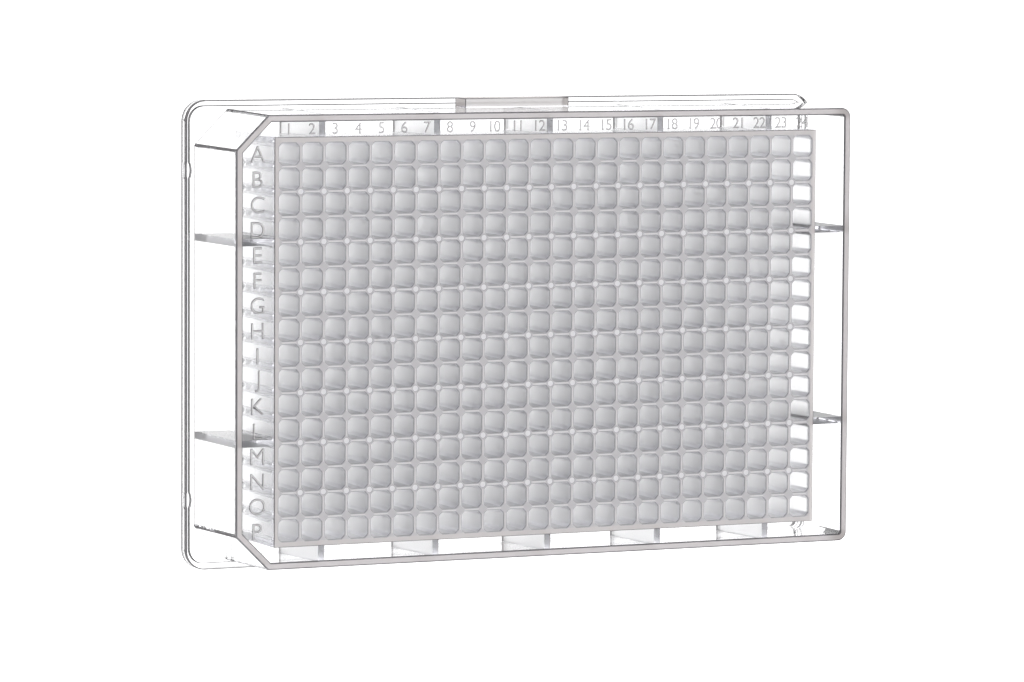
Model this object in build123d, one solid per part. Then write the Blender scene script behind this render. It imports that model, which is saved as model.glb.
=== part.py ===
from build123d import *
import math
import os

# A deep well storage plate, moulded in one shot from clear polypropylene. A block of square wells hangs
# from a clear deck inside a thin outer wall, ribs tie the block to the wall, and the wall stands on a
# stepped flange that nests over the rim of the plate below.
# Millimetres. The origin is the centre of the footprint on the table and +Z is up. Columns run along +X
# and rows along -Y, so the first well lies at -X, +Y.

# ---- footprint and flange ----------------------------------------------------------------------------
LENGTH = 127.76             # footprint along X
WIDTH = 85.48               # footprint along Y
HEIGHT = 22.0               # table to the top of the rim
FLANGE_HEIGHT = 2.4         # outer step that a gripper or a plate nest takes
FLANGE_WALL = 1.16          # thickness of the flange's foot
FLANGE_CORNER_R = 3.8       # corners of the flange in plan
FLANGE_ROUND = 0.3          # its upper edge
NEST_DEPTH = 1.2            # recess under the flange that drops over the rim of the plate below
DETENT_WIDTH = 3.0          # bumps inside both ends of the recess, which steady the plates in a stack
DETENT_RISE = 0.3
DETENT_Y = 30.0             # their centre lines, to both sides of the middle

# ---- outer wall and rim ------------------------------------------------------------------------------
LEDGE = 1.6                 # flange top left showing outside the foot of the wall
WALL = 1.0                  # thickness of the outer wall
WALL_LEAN = 0.4             # the wall leans in this much from its foot to the rim
RIM_WIDTH = 1.3             # flat top of the rim
WALL_CORNER_R = 1.7         # the two plain corners of the wall in plan
CORNER_FLAT = 6.2           # leg of the 45 degree flats at the two first-column corners

# ---- deck --------------------------------------------------------------------------------------------
DECK_DROP = 0.35            # deck below the rim and the well mouths
DECK_THICKNESS = 1.0

# ---- wells -------------------------------------------------------------------------------------------
COLUMNS = 24
ROWS = 16
PITCH = 4.5                 # between well centres, both ways
WEB = 0.65                  # plastic between two mouths
WELL_TAPER = 0.275          # each wall of a well steps in this much over its straight depth
CORNER_CUT = 0.55           # leg of the flat across each corner of a mouth; it runs out at the foot
POINT_DEPTH = 1.6           # height of the pyramid that closes a well
POINT_WALL = 1.0            # plastic under the lowest point of a well
TIP_LIFT = 1.6              # the tips hang this far above the table
END_WALL = 0.875            # plastic outside the first and last columns of mouths
SIDE_WALL = 1.075           # plastic outside the first and last rows of mouths

# ---- ribs and stops ----------------------------------------------------------------------------------
RIB = 1.25                  # thickness
RIB_LIFT = 2.0              # lower edge of the ribs above the table
RIB_COLUMNS = (2, 7, 12, 17, 22)    # a rib crosses the long gaps after each of these columns
RIB_ROWS = (4, 12)          # and the end gaps after each of these rows
STOP_LENGTH = 21.1          # stop blocks on the flange, midway along both long sides
STOP_HEIGHT = 4.5

# ---- worked out from the sizes above -----------------------------------------------------------------
RIM_INSET = LEDGE + WALL_LEAN                   # footprint to the outside of the rim
LEAN = WALL_LEAN / (HEIGHT - FLANGE_HEIGHT)     # how far the wall steps in per unit of height
DRAFT = math.degrees(math.atan(LEAN))
DECK_TOP = HEIGHT - DECK_DROP
DECK_UNDERSIDE = DECK_TOP - DECK_THICKNESS
MOUTH = PITCH - WEB
FOOT = MOUTH - 2 * WELL_TAPER
WELL_DEPTH = HEIGHT - TIP_LIFT - POINT_WALL     # rim to the lowest point inside
STRAIGHT_DEPTH = WELL_DEPTH - POINT_DEPTH
TIP_SLOPE = POINT_DEPTH / (FOOT / 2)            # the tips outside run parallel to the points inside
BLOCK_MARGIN_X = MOUTH / 2 + END_WALL           # outer well centres to the faces of the block
BLOCK_MARGIN_Y = MOUTH / 2 + SIDE_WALL
BLOCK_LENGTH = (COLUMNS - 1) * PITCH + 2 * BLOCK_MARGIN_X
BLOCK_WIDTH = (ROWS - 1) * PITCH + 2 * BLOCK_MARGIN_Y


def column_x(column):
    """X of a column's centre line; the first column is 1."""
    return (column - (COLUMNS + 1) / 2) * PITCH


def row_y(row):
    """Y of a row's centre line; the first row is 1."""
    return ((ROWS + 1) / 2 - row) * PITCH


def wall_plan(z, inward=0.0):
    """Plan of the leaning outer wall at height z: two corners cut at -X, two rounded at +X."""
    rim = Rectangle(LENGTH - 2 * RIM_INSET, WIDTH - 2 * RIM_INSET)
    rim = chamfer(rim.vertices().sort_by(Axis.X)[:2], CORNER_FLAT)
    rim = fillet(rim.vertices().sort_by(Axis.X)[-2:], WALL_CORNER_R)
    return Pos(0, 0, z) * offset(rim, LEAN * (HEIGHT - z) - inward, kind=Kind.INTERSECTION)


def outer_form():
    """The flange and the leaning wall, filled in, with a stop on each long side."""
    flange = extrude(RectangleRounded(LENGTH, WIDTH, FLANGE_CORNER_R), FLANGE_HEIGHT)
    flange = fillet(flange.faces().sort_by(Axis.Z)[-1].edges(), FLANGE_ROUND)
    wall = extrude(wall_plan(FLANGE_HEIGHT), HEIGHT - FLANGE_HEIGHT, taper=DRAFT)
    reach = LEDGE + WALL / 2
    rooted = STOP_HEIGHT + FLANGE_ROUND
    stop = Box(STOP_LENGTH, reach, rooted, align=(Align.CENTER, Align.CENTER, Align.MIN))
    stops = [Pos(0, side * (WIDTH - reach) / 2, FLANGE_HEIGHT - FLANGE_ROUND) * stop for side in (-1, 1)]
    return flange + wall + stops


def sawtooth(count, margin, width):
    """A bar with a row of pointed teeth along its underside, one under each well, along X."""
    first = -(count - 1) * PITCH / 2
    last = -first
    teeth = [(first - margin, TIP_LIFT + margin * TIP_SLOPE)]
    for tooth in range(count):
        teeth.append((first + tooth * PITCH, TIP_LIFT))
        if tooth < count - 1:
            teeth.append((first + (tooth + 0.5) * PITCH, TIP_LIFT + PITCH / 2 * TIP_SLOPE))
    teeth.append((last + margin, TIP_LIFT + margin * TIP_SLOPE))
    profile = Polygon(*teeth, (last + margin, HEIGHT), (first - margin, HEIGHT), align=None)
    return extrude(Plane.XZ * profile, width / 2, both=True)


def well_block():
    """The block before its wells: two crossed sawtooth bars leave a pyramid under every well."""
    along_x = sawtooth(COLUMNS, BLOCK_MARGIN_X, BLOCK_WIDTH)
    along_y = Rot(0, 0, 90) * sawtooth(ROWS, BLOCK_MARGIN_Y, BLOCK_LENGTH)
    return along_x & along_y


def ribs():
    """Full-height webs across the gap between the block and the outer wall, on all four sides."""
    tall = DECK_TOP - RIB_LIFT
    bars = [Pos(column_x(column + 0.5), 0, 0) * Box(RIB, WIDTH, tall) for column in RIB_COLUMNS]
    bars += [Pos(0, row_y(row + 0.5), 0) * Box(LENGTH, RIB, tall) for row in RIB_ROWS]
    gaps = Part() + bars - Box(BLOCK_LENGTH, BLOCK_WIDTH, tall)
    return Pos(0, 0, RIB_LIFT + tall / 2) * gaps


def detents():
    """Low round bumps, two at each end, that stand into the recess from the foot of the flange."""
    radius = (DETENT_WIDTH**2 / 4 + DETENT_RISE**2) / (2 * DETENT_RISE)
    centre_x = LENGTH / 2 - FLANGE_WALL - DETENT_RISE + radius
    bump = extrude(Circle(radius), NEST_DEPTH)
    return [Pos(end * centre_x, side * DETENT_Y, 0) * bump for end in (-1, 1) for side in (-1, 1)]


def underside_hollow():
    """The space inside the wall up to the deck, and the wider recess in the foot of the flange."""
    inside = extrude(wall_plan(0, WALL), DECK_UNDERSIDE, taper=DRAFT)
    nest_plan = RectangleRounded(
        LENGTH - 2 * FLANGE_WALL, WIDTH - 2 * FLANGE_WALL, FLANGE_CORNER_R - FLANGE_WALL
    )
    return inside + (extrude(nest_plan, NEST_DEPTH) - detents())


def deck_tray():
    """The shallow tray between the rim and the block."""
    inside_rim = extrude(wall_plan(HEIGHT, RIM_WIDTH), -DECK_DROP)
    return inside_rim - Pos(0, 0, HEIGHT) * Box(BLOCK_LENGTH, BLOCK_WIDTH, 4 * DECK_DROP)


def polygon(*corners):
    """A flat face with these corners."""
    return Face(Wire.make_polygon(corners))


def well():
    """The hollow of one well, mouth at z = 0: square, its corners flattened at the mouth, down to a point."""
    side = MOUTH / 2
    short = side - CORNER_CUT
    half_foot = FOOT / 2
    point = (0, 0, -WELL_DEPTH)
    mouth = []
    foot = []
    for c, s in ((1, 0), (0, 1), (-1, 0), (0, -1)):
        mouth.append((c * side - s * short, s * side + c * short, 0))
        mouth.append((c * short - s * side, s * short + c * side, 0))
        foot.append(((c - s) * half_foot, (s + c) * half_foot, -STRAIGHT_DEPTH))
    faces = [polygon(*mouth)]
    for corner in range(-1, 3):
        flat_from, flat_to, side_to = (mouth[2 * corner + step] for step in (0, 1, 2))
        faces.append(polygon(flat_from, flat_to, foot[corner]))
        faces.append(polygon(flat_to, side_to, foot[corner + 1], foot[corner]))
        faces.append(polygon(foot[corner], foot[corner + 1], point))
    return Solid(Shell(faces))


block = well_block()
hollow = underside_hollow() - block - ribs()
plate = outer_form() - hollow - deck_tray()
plate -= [
    Pos(column_x(column), row_y(row), HEIGHT) * well()
    for column in range(1, COLUMNS + 1)
    for row in range(1, ROWS + 1)
]

os.makedirs("parts", exist_ok=True)
export_step(plate, "parts/well_plate.step")
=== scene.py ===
import math

import bmesh
import bpy
from mathutils import Matrix, Vector


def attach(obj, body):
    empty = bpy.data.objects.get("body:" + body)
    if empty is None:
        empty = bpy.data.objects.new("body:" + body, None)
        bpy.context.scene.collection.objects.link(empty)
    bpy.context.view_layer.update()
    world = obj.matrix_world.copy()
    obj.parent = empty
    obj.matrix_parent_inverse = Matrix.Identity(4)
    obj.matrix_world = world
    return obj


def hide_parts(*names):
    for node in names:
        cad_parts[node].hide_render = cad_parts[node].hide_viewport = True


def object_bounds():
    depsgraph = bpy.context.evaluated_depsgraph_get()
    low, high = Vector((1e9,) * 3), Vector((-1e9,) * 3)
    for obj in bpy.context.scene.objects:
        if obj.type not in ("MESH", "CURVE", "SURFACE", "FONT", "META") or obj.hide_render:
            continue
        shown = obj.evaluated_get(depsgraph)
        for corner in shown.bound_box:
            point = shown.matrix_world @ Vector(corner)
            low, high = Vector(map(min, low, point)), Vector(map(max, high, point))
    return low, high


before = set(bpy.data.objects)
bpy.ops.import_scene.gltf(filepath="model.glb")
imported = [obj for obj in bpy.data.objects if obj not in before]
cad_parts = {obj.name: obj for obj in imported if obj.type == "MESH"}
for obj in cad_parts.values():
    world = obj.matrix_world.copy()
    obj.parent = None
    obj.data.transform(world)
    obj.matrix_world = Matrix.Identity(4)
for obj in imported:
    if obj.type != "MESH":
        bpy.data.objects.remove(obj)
cad_low, cad_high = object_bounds()

MM = 0.001

# ---- sizes in millimetres, as in the CAD model ---------------------------------------------------
LENGTH = (cad_high.x - cad_low.x) / MM
WIDTH = (cad_high.y - cad_low.y) / MM
HEIGHT = cad_high.z / MM
FLANGE_HEIGHT = 2.4
FLANGE_WALL = 1.16
FLANGE_CORNER_R = 3.8
FLANGE_ROUND = 0.3          # top outer edge of the flange
NEST_DEPTH = 1.2
DETENT_WIDTH = 3.0
DETENT_RISE = 0.3
DETENT_Y = 30.0
LEDGE = 1.6
WALL = 1.0
RIM_INSET = 2.0
RIM_WIDTH = 1.3
WALL_CORNER_R = 1.7
CORNER_FLAT = 6.2           # leg of the 45 degree flats at the two first-column corners
DECK_DROP = 0.35
DECK_THICKNESS = 1.0
COLUMNS = 24
ROWS = 16
PITCH = 4.5
MOUTH = 3.85
FOOT = 3.3
WELL_DEPTH = 19.4
POINT_DEPTH = 1.6
POINT_WALL = 1.0
BLOCK_MARGIN_X = 2.8        # from the outer wells' centre lines to the block's faces
BLOCK_MARGIN_Y = 3.0
RIB = 1.25
RIB_LIFT = 2.0
RIB_COLUMNS = (2, 7, 12, 17, 22)
RIB_ROWS = (4, 12)
STOP_LENGTH = 21.1
STOP_HEIGHT = 4.5

# ---- how the solids meet -------------------------------------------------------------------------
SINK = 0.4                  # how far ribs and stops run into what carries them
RIB_INTO_WALL = 0.15        # how far the foot of a rib runs into the wall
STOP_SETBACK = 0.02         # from the flange's outer face to a stop's

# ---- small roundings that the CAD model leaves sharp ---------------------------------------------
FOOT_ROUND = 0.15           # bottom edges of the flange
RIM_ROUND = 0.3             # both edges of the rim
FLAT_ROUND = 0.5            # upright edges beside the corner flats
LEAST_FLAT_ROUND = 0.12     # and their least radius, on the wall's inside
LEAST_CORNER_R = 0.3        # least radius of the wall's two round corners there
BLOCK_ROUND = 0.12          # edge of the block's top
MOUTH_ROUND = 0.2           # edges of the mouths
STOP_ROUND = 0.15           # edges of the stops

# ---- corners of the wells ------------------------------------------------------------------------
CORNER_CUT = 0.58           # leg of the flat across each corner of a mouth
FOOT_CUT = 0.25             # and at the foot of a well
CUT_ROUND = 0.3             # radius at both ends of a mouth's flat
FLAT_GAIN = 2 - math.sqrt(2)        # what a 45 degree flat's leg gains when its outline moves out by 1

# ---- how finely curves are divided ---------------------------------------------------------------
CUT_STEPS = 2               # round each end of a mouth's flat
WELL_STEPS = 2 * CUT_STEPS + 1      # round each corner of a well, with its flat
MOUTH_STEPS = 3             # over the edges of the mouths and of the block's top
WALL_STEPS = 8              # round each corner of the wall and the flange
EDGE_STEPS = 4              # over the edges of the rim and the flange
STOP_STEPS = 2              # over the edges of the stops
DETENT_STEPS = 8            # along each bump in the nest recess

# ---- ejector marks: shallow round dimples where the webs cross, between every second pair of rows ---
DOT_R = 0.64
DOT_DEPTH = 0.1
DOT_SLOPE = 0.12            # how wide its sloping side is

# ---- lettering, raised on the deck ---------------------------------------------------------------
LETTER_X = -57.7
LETTER_HEIGHT = 3.1
NUMBER_Y = 38.2
NUMBER_HEIGHT = 2.1
NUMBER_SPACING = 0.9
CAP_SHARE = 0.73            # height of a capital over the font's size
LETTER_SLOPE = 0.038        # width and height of a letter's sloping sides over its height
LETTER_STEP = 0.03          # upright part of their sides, above and below the deck's face
LETTER_WELD = 0.002         # points of a letter closer than this are one

# ---- shading -------------------------------------------------------------------------------------
SMOOTH_BELOW = 32.0         # degrees between faces that are shaded as one curve
NARROW = 0.8                # mean width of a face that can belong to a rounding
LEVEL = 0.999               # upward share of the normal from which a face is level

LEAN = (RIM_INSET - LEDGE) / (HEIGHT - FLANGE_HEIGHT)
DECK_TOP = HEIGHT - DECK_DROP
DECK_UNDERSIDE = DECK_TOP - DECK_THICKNESS
TIP_Z = HEIGHT - WELL_DEPTH - POINT_WALL
TIP_SLOPE = POINT_DEPTH / (FOOT / 2)
NEAR = 0.001                # places closer than this are one
PLACE_DIGITS = 4            # decimals that tell places apart


def column_x(column):
    """X of a column's centre line; the first column is 1."""
    return (column - (COLUMNS + 1) / 2) * PITCH


def row_y(row):
    """Y of a row's centre line; the first row is 1."""
    return ((ROWS + 1) / 2 - row) * PITCH


BLOCK_X = column_x(COLUMNS) + BLOCK_MARGIN_X
BLOCK_Y = row_y(1) + BLOCK_MARGIN_Y


# ---- outlines in plan ----------------------------------------------------------------------------
def rounded(corners, radii, steps):
    """The corners of a polygon, each replaced by an arc of its radius in this many steps."""
    points = []
    for i, corner in enumerate(corners):
        here = Vector(corner)
        back = (Vector(corners[i - 1]) - here).normalized()
        ahead = (Vector(corners[(i + 1) % len(corners)]) - here).normalized()
        half = back.angle(ahead) / 2
        centre = here + (back + ahead).normalized() * radii[i] / math.sin(half)
        start = here + back * radii[i] / math.tan(half) - centre
        end = here + ahead * radii[i] / math.tan(half) - centre
        first = math.atan2(start.y, start.x)
        turn = (math.atan2(end.y, end.x) - first + math.pi) % math.tau - math.pi
        for step in range(steps + 1):
            angle = first + turn * step / steps
            points.append(
                (centre.x + radii[i] * math.cos(angle), centre.y + radii[i] * math.sin(angle))
            )
    return points


def flange_outline(inset, detent=0.0):
    """The flange's outline this far inside the footprint, with two bumps of this rise at each end."""
    a, b = LENGTH / 2 - inset, WIDTH / 2 - inset
    radius = FLANGE_CORNER_R - inset
    arcs = rounded([(a, -b), (a, b), (-a, b), (-a, -b)], [radius] * 4, WALL_STEPS)
    bumps = []
    for y in (-DETENT_Y, DETENT_Y):
        for step in range(DETENT_STEPS + 1):
            along = 2 * step / DETENT_STEPS - 1
            bumps.append((a - detent * (1 - along * along), y + along * DETENT_WIDTH / 2))
    turned = [(-x, -y) for x, y in bumps]
    corner = WALL_STEPS + 1
    return arcs[:corner] + bumps + arcs[corner : 3 * corner] + turned + arcs[3 * corner :]


def wall_outline(inset):
    """The wall's outline this far inside the footprint: cut corners at -X, round ones at +X."""
    a, b = LENGTH / 2 - inset, WIDTH / 2 - inset
    inward = inset - RIM_INSET
    flat = CORNER_FLAT - inward * FLAT_GAIN
    plain = max(WALL_CORNER_R - inward, LEAST_CORNER_R)
    cut = max(FLAT_ROUND - inward, LEAST_FLAT_ROUND)
    corners = [(a, -b), (a, b), (-a + flat, b), (-a, b - flat), (-a, -b + flat), (-a + flat, -b)]
    return rounded(corners, [plain, plain, cut, cut, cut, cut], WALL_STEPS)


def wall_inset(z):
    """How far the leaning wall's outer face is inside the footprint at this height."""
    return RIM_INSET - LEAN * (HEIGHT - z)


# one sign for X and one for Y at each corner of a square, anticlockwise
SIGNS = ((1, 1), (-1, 1), (-1, -1), (1, -1))


def mouth_outline(cx, cy, half, cut, radius):
    """A square with a flat across each corner, rounded off at both ends."""
    corners = []
    for sx, sy in SIGNS:
        flat = [(cx + sx * half, cy + sy * (half - cut)), (cx + sx * (half - cut), cy + sy * half)]
        corners += flat if sx == sy else flat[::-1]
    return rounded(corners, [radius] * len(corners), CUT_STEPS)


# ---- mesh helpers --------------------------------------------------------------------------------
def ring(bm, outline, z):
    """A loop of new vertices along an outline at one height."""
    return [bm.verts.new((x, y, z)) for x, y in outline]


def strip(bm, one, other):
    """Faces between two loops of the same length."""
    for i in range(len(one)):
        bm.faces.new((one[i - 1], one[i], other[i], other[i - 1]))


def strips(bm, rings):
    """Faces from each loop to the next."""
    for one, other in zip(rings, rings[1:]):
        strip(bm, one, other)


def fan(bm, loop, point):
    """Triangles from a loop to one point."""
    for i in range(len(loop)):
        bm.faces.new((loop[i - 1], loop[i], point))


def loop_edges(bm, loop):
    """The edges round a loop, made where they are missing."""
    pairs = [(loop[i - 1], loop[i]) for i in range(len(loop))]
    return [bm.edges.get(pair) or bm.edges.new(pair) for pair in pairs]


def flat_between(bm, outer, inner):
    """A flat face between two loops at one height."""
    edges = loop_edges(bm, outer) + loop_edges(bm, inner)
    bmesh.ops.triangle_fill(bm, use_beauty=True, use_dissolve=False, edges=edges)


def quarter(radius, steps=EDGE_STEPS):
    """(across, down) along a quarter round, from the top of the round to its side."""
    angles = [math.pi / 2 * step / steps for step in range(steps + 1)]
    return [(radius * math.sin(angle), radius * (1 - math.cos(angle))) for angle in angles]


def box(bm, low, high, round_off=0.0):
    """A box between two corners, its edges rounded off where a radius is given."""
    made = bmesh.ops.create_cube(bm, size=1.0)["verts"]
    for v in made:
        v.co = [lo + (c + 0.5) * (hi - lo) for c, lo, hi in zip(v.co, low, high)]
    if round_off:
        edges = list({e for v in made for e in v.link_edges})
        # a profile of 0.5 is an arc
        bmesh.ops.bevel(
            bm, geom=edges, offset=round_off, segments=STOP_STEPS, affect="EDGES", profile=0.5,
            clamp_overlap=True,
        )


def evaluated_mesh(item):
    """A copy of an object's mesh as its curve settings or modifiers make it."""
    bpy.context.view_layer.update()
    finished = item.evaluated_get(bpy.context.evaluated_depsgraph_get())
    return bpy.data.meshes.new_from_object(finished)


def new_mesh(name, build):
    """A new object from a function that builds in millimetres."""
    bm = bmesh.new()
    build(bm)
    bmesh.ops.recalc_face_normals(bm, faces=bm.faces)
    bmesh.ops.scale(bm, vec=(MM, MM, MM), verts=bm.verts)
    mesh = bpy.data.meshes.new(name)
    bm.to_mesh(mesh)
    bm.free()
    made = bpy.data.objects.new(name, mesh)
    bpy.context.scene.collection.objects.link(made)
    return made


# ---- the block of wells --------------------------------------------------------------------------
def grid_lines(count, centre_of, margin):
    """Boundaries between wells, with the block's own edges at both ends, along one axis."""
    step = PITCH / 2 if centre_of(2) > centre_of(1) else -PITCH / 2
    lines = [centre_of(1) - math.copysign(margin, step)]
    lines += [centre_of(i) + step for i in range(1, count)]
    lines.append(centre_of(count) + math.copysign(margin, step))
    return lines


def ejector_mark(bm, x, y):
    """A dimple with a sloping side. Returns its upper edge."""
    edge, bottom = [], []
    around = len(SIGNS) * WELL_STEPS
    for k in range(around):
        c, s = math.cos(math.tau * k / around), math.sin(math.tau * k / around)
        edge.append(bm.verts.new((x + DOT_R * c, y + DOT_R * s, HEIGHT)))
        inner = DOT_R - DOT_SLOPE
        bottom.append(bm.verts.new((x + inner * c, y + inner * s, HEIGHT - DOT_DEPTH)))
    strip(bm, edge, bottom)
    bm.faces.new(bottom)
    return edge


def top_corners(bm, xs, ys):
    """What the top has where cells meet, by place in the grid: plain vertices, and ejector marks."""
    plain, marks = {}, {}
    for i, x in enumerate(xs):
        for j, y in enumerate(ys):
            if 0 < i < COLUMNS and 0 < j < ROWS and j % 2 == 0:
                marks[i, j] = ejector_mark(bm, x, y)
            else:
                plain[i, j] = bm.verts.new((x, y, HEIGHT))
    return plain, marks


def well(bm, cx, cy):
    """A well from its rounded mouth down to its point. Returns the loop round the mouth."""
    rings = []
    for across, down in quarter(MOUTH_ROUND, MOUTH_STEPS):
        grow = MOUTH_ROUND - across
        cut = CORNER_CUT + grow * FLAT_GAIN
        outline = mouth_outline(cx, cy, MOUTH / 2 + grow, cut, CUT_ROUND + grow)
        rings.append(ring(bm, outline, HEIGHT - down))
    foot = mouth_outline(cx, cy, FOOT / 2, FOOT_CUT, FOOT_CUT)
    rings.append(ring(bm, foot, HEIGHT - WELL_DEPTH + POINT_DEPTH))
    strips(bm, rings)
    fan(bm, rings[-1], bm.verts.new((cx, cy, HEIGHT - WELL_DEPTH)))
    return rings[0]


def cell_corners(plain, marks, column, row):
    """The vertices at the corners of a well's cell, as many to each as the mouth has there."""
    corners = []
    for k, (sx, sy) in enumerate(SIGNS):
        # rows count downwards in Y
        key = (column if sx > 0 else column - 1, row - 1 if sy > 0 else row)
        if key in marks:
            edge = marks[key]
            # the quarter of the mark that faces this well, clockwise from this vertex
            first = (k + 3) * WELL_STEPS
            corners.append([edge[(first - step) % len(edge)] for step in range(WELL_STEPS + 1)])
        else:
            corners.append([plain[key]] * (WELL_STEPS + 1))
    return corners


def cell_top(bm, mouth, corners):
    """The level face between a mouth and the corners of its cell."""
    for k in range(len(SIGNS)):
        arc = mouth[k * (WELL_STEPS + 1) : (k + 1) * (WELL_STEPS + 1)]
        for step in range(WELL_STEPS):
            one, other = corners[k][step], corners[k][step + 1]
            if one is other:
                bm.faces.new((arc[step], one, arc[step + 1]))
            else:
                bm.faces.new((arc[step], one, other, arc[step + 1]))
        after = (k + 1) % len(SIGNS)
        bm.faces.new((arc[-1], corners[k][-1], corners[after][0], mouth[after * (WELL_STEPS + 1)]))


def block_edge(bm, plain, end_x, end_y):
    """The edge of the block's top, rounded over and down to the deck. Returns the loop there."""
    loop = [plain[i, 0] for i in range(COLUMNS)]
    loop += [plain[COLUMNS, j] for j in range(ROWS)]
    loop += [plain[i, ROWS] for i in range(COLUMNS, 0, -1)]
    loop += [plain[0, j] for j in range(ROWS, 0, -1)]
    previous = loop
    for across, down in quarter(BLOCK_ROUND, MOUTH_STEPS)[1:]:
        lower = []
        for v in loop:
            x = v.co.x + math.copysign(across, v.co.x) * (abs(v.co.x) > end_x - NEAR)
            y = v.co.y + math.copysign(across, v.co.y) * (abs(v.co.y) > end_y - NEAR)
            lower.append(bm.verts.new((x, y, HEIGHT - down)))
        strip(bm, previous, lower)
        previous = lower
    at_deck = [bm.verts.new((v.co.x, v.co.y, DECK_TOP)) for v in previous]
    strip(bm, previous, at_deck)
    return at_deck


def under_z(x, y):
    """Height of the block's underside, which has a pyramid under every well."""
    dx = min(abs(x - column_x(c)) for c in range(1, COLUMNS + 1))
    dy = min(abs(y - row_y(r)) for r in range(1, ROWS + 1))
    return TIP_Z + TIP_SLOPE * max(dx, dy)


def underside(bm):
    """The pyramids and the block's side faces, which cut them off. Returns the loop under the deck."""
    found = {}

    def low(x, y):
        key = (round(x, PLACE_DIGITS), round(y, PLACE_DIGITS))
        if key not in found:
            found[key] = bm.verts.new((x, y, under_z(x, y)))
        return found[key]

    def lower_edge(axis, at):
        """The vertices along the lower edge of the side face at this place on this axis, in order."""
        along = [v for key, v in found.items() if abs(key[axis] - at) < NEAR]
        return sorted(along, key=lambda v: v.co[1 - axis])

    half = PITCH / 2
    for column in range(1, COLUMNS + 1):
        for row in range(1, ROWS + 1):
            cx, cy = column_x(column), row_y(row)
            tip = bm.verts.new((cx, cy, TIP_Z))
            fan(bm, [low(cx + sx * half, cy + sy * half) for sx, sy in SIGNS], tip)

    # between the outer cells and the block's faces
    edge_x, edge_y = column_x(COLUMNS), row_y(1)
    for side in (-1, 1):
        for row in range(1, ROWS + 1):
            up, down = row_y(row) + half, row_y(row) - half
            bm.faces.new([
                low(side * (edge_x + half), up), low(side * BLOCK_X, up),
                low(side * BLOCK_X, down), low(side * (edge_x + half), down),
            ])
        for column in range(1, COLUMNS + 1):
            left, right = column_x(column) - half, column_x(column) + half
            bm.faces.new([
                low(left, side * (edge_y + half)), low(left, side * BLOCK_Y),
                low(right, side * BLOCK_Y), low(right, side * (edge_y + half)),
            ])
        for other in (-1, 1):
            inner = low(side * (edge_x + half), other * (edge_y + half))
            diagonal = low(side * BLOCK_X, other * (edge_y + BLOCK_MARGIN_X))
            bm.faces.new([inner, low(side * BLOCK_X, other * (edge_y + half)), diagonal])
            bm.faces.new([
                inner, diagonal, low(side * BLOCK_X, other * BLOCK_Y),
                low(side * (edge_x + half), other * BLOCK_Y),
            ])

    corner = {}
    for sx, sy in SIGNS:
        corner[sx, sy] = bm.verts.new((sx * BLOCK_X, sy * BLOCK_Y, DECK_UNDERSIDE))
    for side in (-1, 1):
        bm.faces.new(lower_edge(0, side * BLOCK_X) + [corner[side, 1], corner[side, -1]])
        bm.faces.new(lower_edge(1, side * BLOCK_Y) + [corner[1, side], corner[-1, side]])
    return [corner[signs] for signs in SIGNS]


def well_block(bm):
    """Mouths, wells and pointed undersides. Returns the block's loops at the deck's two faces."""
    xs = grid_lines(COLUMNS, column_x, BLOCK_MARGIN_X - BLOCK_ROUND)
    ys = grid_lines(ROWS, row_y, BLOCK_MARGIN_Y - BLOCK_ROUND)
    plain, marks = top_corners(bm, xs, ys)
    for column in range(1, COLUMNS + 1):
        for row in range(1, ROWS + 1):
            mouth = well(bm, column_x(column), row_y(row))
            cell_top(bm, mouth, cell_corners(plain, marks, column, row))
    at_deck = block_edge(bm, plain, abs(xs[0]), abs(ys[0]))
    return at_deck, underside(bm)


# ---- the whole plate -----------------------------------------------------------------------------
def shell(bm):
    """Everything but the ribs, the stops and the lettering."""
    at_deck, under_block = well_block(bm)

    # flange: nest recess, foot, outside and rounded top
    nest = ring(bm, flange_outline(FLANGE_WALL, DETENT_RISE), NEST_DEPTH)
    rings = [nest, ring(bm, flange_outline(FLANGE_WALL, DETENT_RISE), FOOT_ROUND)]
    rings.append(ring(bm, flange_outline(FLANGE_WALL - FOOT_ROUND, DETENT_RISE), 0.0))
    rings.append(ring(bm, flange_outline(FOOT_ROUND), 0.0))
    rings.append(ring(bm, flange_outline(0.0), FOOT_ROUND))
    for across, down in reversed(quarter(FLANGE_ROUND)):
        rings.append(ring(bm, flange_outline(FLANGE_ROUND - across), FLANGE_HEIGHT - down))
    strips(bm, rings)
    ledge = rings[-1]

    # wall, rim and the drop to the deck
    rings = [ring(bm, wall_outline(wall_inset(FLANGE_HEIGHT)), FLANGE_HEIGHT)]
    wall_foot = rings[0]
    for across, down in reversed(quarter(RIM_ROUND)):
        z = HEIGHT - down
        rings.append(ring(bm, wall_outline(wall_inset(z) + RIM_ROUND - across), z))
    rim_inside = RIM_INSET + RIM_WIDTH
    for across, down in quarter(RIM_ROUND):
        rings.append(ring(bm, wall_outline(rim_inside - RIM_ROUND + across), HEIGHT - down))
    rings.append(ring(bm, wall_outline(rim_inside), DECK_TOP))
    strips(bm, rings)
    flat_between(bm, ledge, wall_foot)
    flat_between(bm, rings[-1], at_deck)

    # inside of the wall and the deck's underside
    foot = ring(bm, wall_outline(wall_inset(NEST_DEPTH) + WALL), NEST_DEPTH)
    top = ring(bm, wall_outline(wall_inset(DECK_UNDERSIDE) + WALL), DECK_UNDERSIDE)
    strip(bm, foot, top)
    flat_between(bm, nest, foot)
    flat_between(bm, top, under_block)


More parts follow.
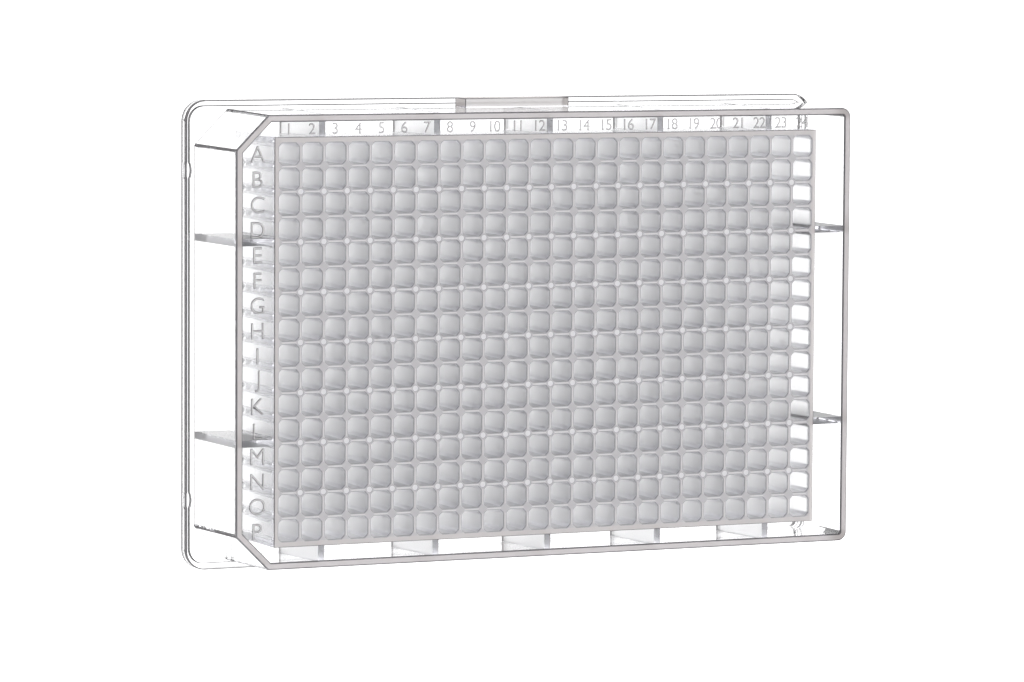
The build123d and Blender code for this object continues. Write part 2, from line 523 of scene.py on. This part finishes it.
def ribs(bm):
    """Ten ribs over the long gaps and four over the end gaps."""
    end_y = WIDTH / 2 - wall_inset(RIB_LIFT) - WALL + RIB_INTO_WALL
    end_x = LENGTH / 2 - wall_inset(RIB_LIFT) - WALL + RIB_INTO_WALL
    top = DECK_UNDERSIDE + SINK
    for column in RIB_COLUMNS:
        x = column_x(column + 0.5)
        for low_y, high_y in ((BLOCK_Y - SINK, end_y), (-end_y, SINK - BLOCK_Y)):
            box(bm, (x - RIB / 2, low_y, RIB_LIFT), (x + RIB / 2, high_y, top))
    for row in RIB_ROWS:
        y = row_y(row + 0.5)
        for low_x, high_x in ((BLOCK_X - SINK, end_x), (-end_x, SINK - BLOCK_X)):
            box(bm, (low_x, y - RIB / 2, RIB_LIFT), (high_x, y + RIB / 2, top))


def stops(bm):
    """The two blocks on the flange, midway along the long sides."""
    face = WIDTH / 2 - STOP_SETBACK
    back = WIDTH / 2 - LEDGE - WALL / 2
    low_z, high_z = FLANGE_HEIGHT - SINK, FLANGE_HEIGHT + STOP_HEIGHT
    for low_y, high_y in ((back, face), (-face, -back)):
        box(bm, (-STOP_LENGTH / 2, low_y, low_z), (STOP_LENGTH / 2, high_y, high_z), STOP_ROUND)


def written(text, height):
    """The mesh of a letter or number this high, with sloping sides."""
    curve = bpy.data.curves.new("label", "FONT")
    curve.body = text
    curve.align_x = "CENTER"
    curve.align_y = "CENTER"
    rise = LETTER_SLOPE * height
    curve.size = height / CAP_SHARE
    curve.space_character = NUMBER_SPACING if text.isdigit() else 1.0
    curve.extrude = LETTER_STEP
    curve.bevel_depth = rise
    curve.offset = -rise
    curve.bevel_resolution = 0
    label = bpy.data.objects.new("label", curve)
    bpy.context.scene.collection.objects.link(label)
    mesh = evaluated_mesh(label)
    bpy.data.objects.remove(label)
    return mesh


def lettering(bm):
    """Row letters and column numbers, raised on the deck."""
    labels = []
    for row in range(1, ROWS + 1):
        labels.append((chr(ord("A") + row - 1), LETTER_X, row_y(row), LETTER_HEIGHT))
    for column in range(1, COLUMNS + 1):
        labels.append((str(column), column_x(column), NUMBER_Y, NUMBER_HEIGHT))
    for text, x, y, height in labels:
        mesh = written(text, height)
        outline = [v.co for v in mesh.vertices]
        middle_x = (min(c.x for c in outline) + max(c.x for c in outline)) / 2
        middle_y = (min(c.y for c in outline) + max(c.y for c in outline)) / 2
        mesh.transform(Matrix.Translation((x - middle_x, y - middle_y, DECK_TOP)))
        bm.from_mesh(mesh)
    bmesh.ops.remove_doubles(bm, verts=bm.verts, dist=LETTER_WELD)


plate = new_mesh("deep_well_plate", shell)
for name, build in (("ribs", ribs), ("stops", stops), ("letters", lettering)):
    extra = new_mesh(name, build)
    union = plate.modifiers.new(name, "BOOLEAN")
    union.operation = "UNION"
    union.solver = "MANIFOLD"
    union.object = extra
    joined = evaluated_mesh(plate)
    plate.modifiers.clear()
    plate.data = joined
    bpy.data.objects.remove(extra)

# roundings read as curves: narrow faces are shaded smoothly over small angles, and wide and level
# ones stay flat
plate.data.set_sharp_from_angle(angle=math.radians(SMOOTH_BELOW))
for face in plate.data.polygons:
    corners = [plate.data.vertices[v].co for v in face.vertices]
    longest = max((corners[i - 1] - corners[i]).length for i in range(len(corners)))
    narrow = face.area < NARROW * MM * longest
    face.use_smooth = narrow and abs(face.normal.z) < LEVEL

# ---- plastic: clear polypropylene, with matt places and painted shade and light picked out by masks ---
REFRACTION = 1.49           # the plastic's index of refraction
HAZE_COLOR = (0.60, 0.61, 0.98, 1)
HAZE_DENSITY = 8.0          # per metre of plastic

# roughness; wall, deck and flange are polished
WELL_ROUGH = 0.32           # the wells are finely matt inside
UNDER_ROUGH = 0.45          # and so are the points under them
SIDE_ROUGH = 0.2            # the outside of the block
RIB_ROUGH = 0.3             # the faces of the ribs
STOP_ROUGH = 0.3
TOP_ROUGH = 0.5             # rim and webs on top
EDGE_ROUGH = 0.3            # small roundings

# how much of a place's light comes from a matt surface, which carries the painted shade and light
# matt tops of the rim and the block, painted grey as shade
TOP_SHARE = 0.8
# the small roundings, painted dark as shade
EDGE_SHARE = 0.9
LINE_SHARE = 0.97           # the lines of painted shade at the nest recess and the foot of the flange
CORNER_SHARE = 0.85         # painted shade on the upright edges beside the corner flats
STOP_SHARE = 0.6
RIB_FOOT_SHARE = 0.8        # painted shade on the lower faces of the ribs
LONG_RIB_SHARE = 0.08       # painted shade on the side faces of the ribs along the long sides
END_RIB_SHARE = 0.45        # and of those at both ends
# the grey line of painted shade round the foot of the wall
WALL_LINE_SHARE = 0.8
LABEL_SHARE = 0.7           # the matt tops of the letters, painted grey as shade

# and that surface's colour: the plastic is clear, so these greys are painted shade, and the dots'
# lighter grey is painted light
RIM_PAINTED_SHADE = (0.475, 0.44, 0.435, 1)
STOP_PAINTED_SHADE = (0.54, 0.495, 0.475, 1)
BORDER_PAINTED_SHADE = (0.54, 0.51, 0.505, 1)
WEB_PAINTED_SHADE = (0.64, 0.625, 0.635, 1)
CROSSING_PAINTED_SHADE = (0.475, 0.465, 0.475, 1)
DOT_PAINTED_LIGHT = (0.74, 0.73, 0.75, 1)
RIB_PAINTED_SHADE = (0.38, 0.375, 0.385, 1)
LABEL_PAINTED_SHADE = (0.66, 0.65, 0.655, 1)
WALL_LINE_PAINTED_SHADE = (0.46, 0.44, 0.44, 1)
EDGE_PAINTED_SHADE = (0.12, 0.115, 0.12, 1)
MOUTH_PAINTED_SHADE = (0.40, 0.39, 0.41, 1)

# where the masks begin and end, in millimetres
CLEARANCE = 0.02            # past faces that a mask takes in, and off faces that it leaves out
SKIN = 0.2                  # plastic this near the block's faces counts as its side
BORDER = 1.0                # width of the border round the block's top
CROSSING = 0.95             # |x| + |y| of the corners of a crossing, from its middle
FOOT_LINE = 0.7             # height of the painted shade line round the foot of the flange
NEST_LINE = 0.5             # and of the one round the top of the nest recess
WALL_LINE = 0.4             # and of the paler line of painted shade round the foot of the wall
CORNER_START = 0.01         # from the flange's top to where the painted shade on a corner's edge starts
RIB_FOOT_REACH = 0.1        # above and below the ribs' lower faces
LETTER_TOP = 0.2            # over the deck; the letters end below this
POINTS_BELOW = BLOCK_MARGIN_X * TIP_SLOPE * 2       # over the table; so do the block's pyramids

# and as shares of a face's normal
FLAT = 0.95                 # a level face has more of it upwards
UPRIGHT = 0.08              # and an upright face less
SIDE_TO_FLAT = (0.1, 0.69)  # share along X, on the edges between long side and corner flat
FLAT_TO_END = (0.73, 0.995)         # and on the edges between corner flat and end

plastic = bpy.data.materials.new("clear_polypropylene")
plastic.use_nodes = True
tree = plastic.node_tree    # the tree that the functions below build in
shader = tree.nodes["Principled BSDF"]
shader.inputs["Base Color"].default_value = (1, 1, 1, 1)
shader.inputs["Transmission Weight"].default_value = 1.0
shader.inputs["IOR"].default_value = REFRACTION


def node(kind, **values):
    """A new node with these settings."""
    made = tree.nodes.new(kind)
    for key, value in values.items():
        setattr(made, key, value)
    return made


def link(value, socket):
    """Gives a socket a number, a colour or another node's output."""
    if isinstance(value, (int, float, tuple)):
        socket.default_value = value
    else:
        tree.links.new(value, socket)


def calc(operation, *values):
    """The result of a sum on numbers and outputs."""
    made = node("ShaderNodeMath", operation=operation)
    for socket, value in zip(made.inputs, values):
        link(value, socket)
    return made.outputs[0]


def all_of(first, *others):
    """The product of masks, or of masks and a value."""
    for other in others:
        first = calc("MULTIPLY", first, other)
    return first


def any_of(first, *others):
    """The greatest of masks."""
    for other in others:
        first = calc("MAXIMUM", first, other)
    return first


def without(mask):
    """1 where a mask is 0, and 0 where it is 1."""
    return calc("SUBTRACT", 1.0, mask)


def between(value, low, high):
    """1 between two limits, and 0 elsewhere."""
    return all_of(calc("GREATER_THAN", value, low), calc("LESS_THAN", value, high))


def highest(layers):
    """The greatest of the values whose masks cover a place."""
    return any_of(*[all_of(mask, value) for mask, value in layers])


def painted(colour, layers):
    """A colour with others over it, each where its mask is."""
    for mask, over in layers:
        made = node("ShaderNodeMix", data_type="RGBA")
        # the other sockets are for numbers and vectors
        factor, under, upper = made.inputs[0], made.inputs[6], made.inputs[7]
        link(mask, factor)
        link(colour, under)
        link(over, upper)
        colour = made.outputs[2]
    return colour


place = node("ShaderNodeNewGeometry")
position = node("ShaderNodeSeparateXYZ")
link(place.outputs["Position"], position.inputs[0])
normal = node("ShaderNodeSeparateXYZ")
link(place.outputs["Normal"], normal.inputs[0])
along = position.outputs["X"]
across = position.outputs["Y"]
height = position.outputs["Z"]
# inside the plastic the normal is turned round, so most masks take its size alone
upward = calc("ABSOLUTE", normal.outputs["Z"])
sideways = calc("ABSOLUTE", normal.outputs["X"])


def above(limit):
    """1 higher than this many millimetres over the table."""
    return calc("GREATER_THAN", height, limit * MM)


def below(limit):
    """1 lower than this many millimetres over the table."""
    return calc("LESS_THAN", height, limit * MM)


def heights(low, high):
    """1 between two heights in millimetres."""
    return between(height, low * MM, high * MM)


def within(coordinate, limit):
    """1 where a coordinate is less than this many millimetres from zero."""
    return calc("LESS_THAN", calc("ABSOLUTE", coordinate), limit * MM)


def off_line(coordinate, gap):
    """Distance in metres from the nearest multiple of this gap, which is in millimetres."""
    return calc("ABSOLUTE", calc("WRAP", coordinate, gap / 2 * MM, -gap / 2 * MM))


def inside_block(margin):
    """1 inside the block's outline less this margin."""
    return all_of(within(along, BLOCK_X - margin), within(across, BLOCK_Y - margin))


# by direction
flat = calc("GREATER_THAN", upward, FLAT)
upright = calc("LESS_THAN", upward, UPRIGHT)
sloping = between(upward, UPRIGHT, FLAT)
product = node("ShaderNodeVectorMath", operation="DOT_PRODUCT")
link(place.outputs["Position"], product.inputs[0])
link(place.outputs["Normal"], product.inputs[1])
# 1 in air and -1 inside the plastic, which undoes the normal's turn
turned_back = without(all_of(place.outputs["Backfacing"], 2.0))
outward = all_of(product.outputs["Value"], turned_back)
outer_face = all_of(upright, calc("GREATER_THAN", outward, 0.0))
inner_face = all_of(upright, calc("LESS_THAN", outward, 0.0))

# the block of wells
in_block = inside_block(SKIN)
on_block = inside_block(-CLEARANCE)
beyond = without(on_block)
top = all_of(above(HEIGHT - 2 * DOT_DEPTH), calc("GREATER_THAN", normal.outputs["Z"], FLAT))
# the dots, painted lighter as light
dot = all_of(top, in_block, below(HEIGHT - DOT_DEPTH / 2))
among_wells = inside_block(BORDER)
# the webs' crossings, painted darker as shade
off_centre = calc("ADD", off_line(along, PITCH), off_line(across, PITCH))
crossing = all_of(among_wells, calc("LESS_THAN", off_centre, CROSSING * MM))
side = all_of(upright, on_block, without(in_block))
under = all_of(on_block, sloping, below(POINTS_BELOW))

# small roundings: sloping faces other than those deep in the wells and under the deck, painted dark as
# shade
deep = all_of(in_block, below(HEIGHT - 2 * MOUTH_ROUND))
under_deck = all_of(on_block, below(DECK_UNDERSIDE))
edge = all_of(sloping, without(any_of(deep, under_deck)))
# the mouths' roundings take a lighter grey of painted shade
mouth_edge = all_of(edge, in_block)

# lines of painted shade round the flange and the foot of the wall, and painted shade on the edges
# beside the corner flats
nest_line = all_of(inner_face, heights(NEST_DEPTH - NEST_LINE, NEST_DEPTH))
foot_line = all_of(outer_face, below(FOOT_LINE))
painted_shade_line = any_of(nest_line, foot_line)
wall_line = all_of(outer_face, beyond, heights(FLANGE_HEIGHT, FLANGE_HEIGHT + WALL_LINE))
turning = any_of(between(sideways, *SIDE_TO_FLAT), between(sideways, *FLAT_TO_END))
on_wall = all_of(beyond, above(FLANGE_HEIGHT + CORNER_START))
corner = all_of(turning, upright, calc("LESS_THAN", along, 0.0), on_wall)

# ribs, whose side and lower faces are painted grey as shade
half_rib = (RIB / 2 + CLEARANCE) * MM
rib_line = row_y(RIB_ROWS[0] + 0.5) * MM
off_row = calc("ABSOLUTE", calc("SUBTRACT", calc("ABSOLUTE", across), rib_line))
off_column = off_line(along, column_x(RIB_COLUMNS[1]) - column_x(RIB_COLUMNS[0]))
on_row = calc("LESS_THAN", off_row, half_rib)
on_column = calc("LESS_THAN", off_column, half_rib)
on_rib = all_of(any_of(on_row, on_column), beyond, heights(RIB_LIFT, DECK_UNDERSIDE + SINK))
rib_side = all_of(on_rib, upright)
end_rib = all_of(rib_side, on_row)
rib_foot = all_of(flat, heights(RIB_LIFT - RIB_FOOT_REACH, RIB_LIFT + RIB_FOOT_REACH))

# letters and stops, whose matt faces are painted grey as shade
label = all_of(flat, beyond, heights(DECK_TOP + CLEARANCE, DECK_TOP + LETTER_TOP))
past_wall = without(within(across, WIDTH / 2 - LEDGE + CLEARANCE))
stop = all_of(past_wall, above(FLANGE_HEIGHT + CLEARANCE))

rough = highest((
    (in_block, WELL_ROUGH), (under, UNDER_ROUGH), (side, SIDE_ROUGH), (on_rib, RIB_ROUGH),
    (stop, STOP_ROUGH), (top, TOP_ROUGH), (edge, EDGE_ROUGH),
))
share = highest((
    (top, TOP_SHARE), (edge, EDGE_SHARE), (painted_shade_line, LINE_SHARE), (corner, CORNER_SHARE),
    (stop, STOP_SHARE), (rib_foot, RIB_FOOT_SHARE), (rib_side, LONG_RIB_SHARE),
    (end_rib, END_RIB_SHARE), (wall_line, WALL_LINE_SHARE), (label, LABEL_SHARE),
))
colour = painted(RIM_PAINTED_SHADE, (
    (stop, STOP_PAINTED_SHADE), (in_block, BORDER_PAINTED_SHADE), (among_wells, WEB_PAINTED_SHADE), (crossing, CROSSING_PAINTED_SHADE),
    (dot, DOT_PAINTED_LIGHT), (any_of(rib_foot, rib_side), RIB_PAINTED_SHADE), (label, LABEL_PAINTED_SHADE),
    (wall_line, WALL_LINE_PAINTED_SHADE), (edge, EDGE_PAINTED_SHADE), (mouth_edge, MOUTH_PAINTED_SHADE),
    (any_of(painted_shade_line, corner), EDGE_PAINTED_SHADE),
))

link(rough, shader.inputs["Roughness"])
# the matt surface, which also carries the painted shade and light
matt_and_painted_shade = node("ShaderNodeBsdfDiffuse")
link(colour, matt_and_painted_shade.inputs["Color"])
blend = node("ShaderNodeMixShader")
link(share, blend.inputs[0])
link(shader.outputs[0], blend.inputs[1])
link(matt_and_painted_shade.outputs[0], blend.inputs[2])
link(blend.outputs[0], tree.nodes["Material Output"].inputs["Surface"])
haze = node("ShaderNodeVolumeAbsorption")
haze.inputs["Color"].default_value = HAZE_COLOR
haze.inputs["Density"].default_value = HAZE_DENSITY
link(haze.outputs[0], tree.nodes["Material Output"].inputs["Volume"])

plate.data.materials.clear()
plate.data.materials.append(plastic)
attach(plate, "root")
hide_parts("well_plate")

# ---- floor: a lit white table, as the photograph is lit from behind ------------------------------
FLOOR_REACH = 3.0           # metres from its middle to its sides
FLOOR_SHADE = 0.3
FLOOR_ROUGH = 0.6
FLOOR_GLOW = 1.4
bm = bmesh.new()
bmesh.ops.create_grid(bm, x_segments=1, y_segments=1, size=FLOOR_REACH)
floor_mesh = bpy.data.meshes.new("floor")
bm.to_mesh(floor_mesh)
bm.free()
floor = bpy.data.objects.new("floor", floor_mesh)
bpy.context.scene.collection.objects.link(floor)
pale = bpy.data.materials.new("pale_floor")
pale.use_nodes = True
tree = pale.node_tree
surface = tree.nodes["Principled BSDF"]
surface.inputs["Base Color"].default_value = (FLOOR_SHADE, FLOOR_SHADE, FLOOR_SHADE, 1)
surface.inputs["Roughness"].default_value = FLOOR_ROUGH
surface.inputs["Emission Color"].default_value = (1, 1, 1, 1)
surface.inputs["Emission Strength"].default_value = FLOOR_GLOW
# seen from below, the floor is clear, so that it doesn't hide the underside
see_through = node("ShaderNodeBsdfTransparent")
one_sided = node("ShaderNodeMixShader")
link(node("ShaderNodeNewGeometry").outputs["Backfacing"], one_sided.inputs[0])
link(surface.outputs[0], one_sided.inputs[1])
link(see_through.outputs[0], one_sided.inputs[2])
link(one_sided.outputs[0], tree.nodes["Material Output"].inputs["Surface"])
floor_mesh.materials.append(pale)

# ---- light: a soft studio, which the plastic sees as dim towards its horizon ---------------------
HORIZON = 0.15              # dimmest up to here, as the sine of the elevation
OVERHEAD = 0.5              # and brightest from here up
SIDE_LIGHT = 0.08
TOP_LIGHT = 0.6
SOFT_LIGHT = 1.1            # what falls on matt surfaces, and what the camera sees behind the floor
world = bpy.data.worlds.new("studio")
bpy.context.scene.world = world
world.use_nodes = True
world.cycles.sampling_method = "NONE"
tree = world.node_tree
background = tree.nodes["Background"]
background.inputs["Color"].default_value = (1, 1, 1, 1)
direction = node("ShaderNodeSeparateXYZ")
link(node("ShaderNodeTexCoord").outputs["Generated"], direction.inputs[0])
ramp = node("ShaderNodeMapRange", interpolation_type="SMOOTHSTEP")
ramp.inputs["From Min"].default_value = HORIZON
ramp.inputs["From Max"].default_value = OVERHEAD
ramp.inputs["To Min"].default_value = SIDE_LIGHT
ramp.inputs["To Max"].default_value = TOP_LIGHT
link(direction.outputs["Z"], ramp.inputs["Value"])
path = node("ShaderNodeLightPath")
scattered = calc("GREATER_THAN", path.outputs["Diffuse Depth"], 0)
soft = any_of(path.outputs["Is Camera Ray"], scattered)
strength = calc("ADD", all_of(without(soft), ramp.outputs["Result"]), all_of(soft, SOFT_LIGHT))
link(strength, background.inputs["Strength"])

# ---- camera, at the photograph's viewing angle; places in metres ---------------------------------
CAMERA_AT = Vector((-0.40247, 0.07648, 0.87080))
CAMERA_AIM = Vector((-0.007840, -0.000974, 0.022))
CAMERA_UP = Vector((0.029705, 0.996578, -0.077131))
LENS = 181.245              # focal length and sensor in millimetres
SENSOR = 36.0
NEAREST = 0.01              # the camera shows what is between these distances
FARTHEST = 20.0
camera_data = bpy.data.cameras.new("camera")
camera_data.lens = LENS
camera_data.sensor_width = SENSOR
camera_data.clip_start = NEAREST
camera_data.clip_end = FARTHEST
camera = bpy.data.objects.new("camera", camera_data)
bpy.context.scene.collection.objects.link(camera)
back = (CAMERA_AT - CAMERA_AIM).normalized()
right = CAMERA_UP.cross(back).normalized()
up = back.cross(right)
camera.matrix_world = Matrix.Translation(CAMERA_AT) @ Matrix((right, up, back)).transposed().to_4x4()
bpy.context.scene.camera = camera

# light goes through many faces of clear plastic before it leaves
CLEAR_BOUNCES = 32
GLOSSY_BOUNCES = 12
bpy.context.scene.view_settings.view_transform = "Standard"
bpy.context.scene.cycles.max_bounces = CLEAR_BOUNCES
bpy.context.scene.cycles.transmission_bounces = CLEAR_BOUNCES
bpy.context.scene.cycles.glossy_bounces = GLOSSY_BOUNCES
